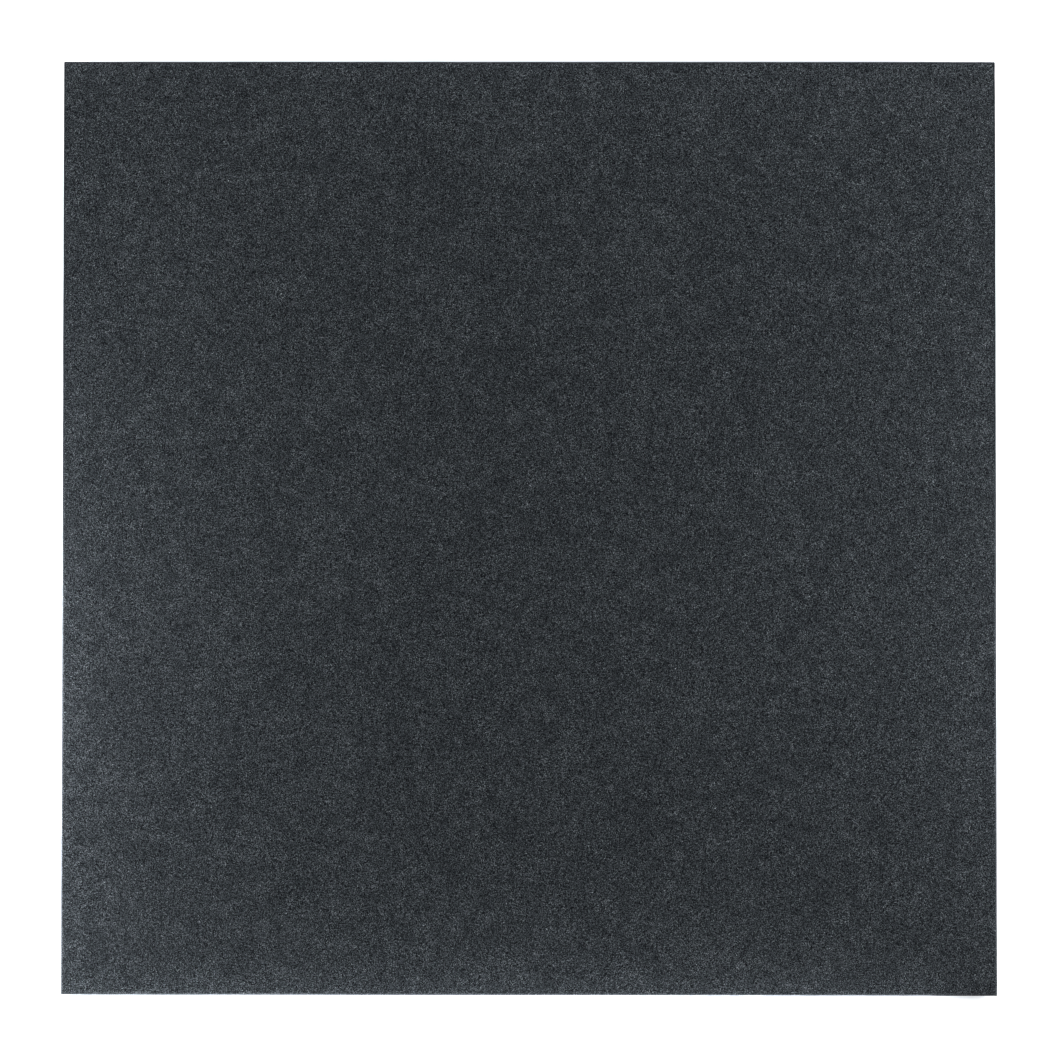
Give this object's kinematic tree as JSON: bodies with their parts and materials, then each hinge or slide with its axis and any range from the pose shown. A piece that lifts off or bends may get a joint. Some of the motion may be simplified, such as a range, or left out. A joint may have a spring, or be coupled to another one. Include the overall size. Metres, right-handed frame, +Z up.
{
  "type": "rubber gym floor tile",
  "caption": "Square black rubber floor tile of fine pressed crumb, plain square edges, laid loose or glued edge to edge.",
  "frame": {"origin": "centre of the underside, on the floor", "axes": "+Z up, out of the wearing face; +X along the length, to the right in the picture; +Y along the width, up in the picture"},
  "size_m": [1, 1, 0.02],
  "materials": {
    "crumb_rubber": "fine pressed rubber crumb, satin black with a blue-grey cast, small dark pits between the grains"
  },
  "bodies": {
    "root": {"rubber_tile": "crumb_rubber"}
  },
  "joints": []
}
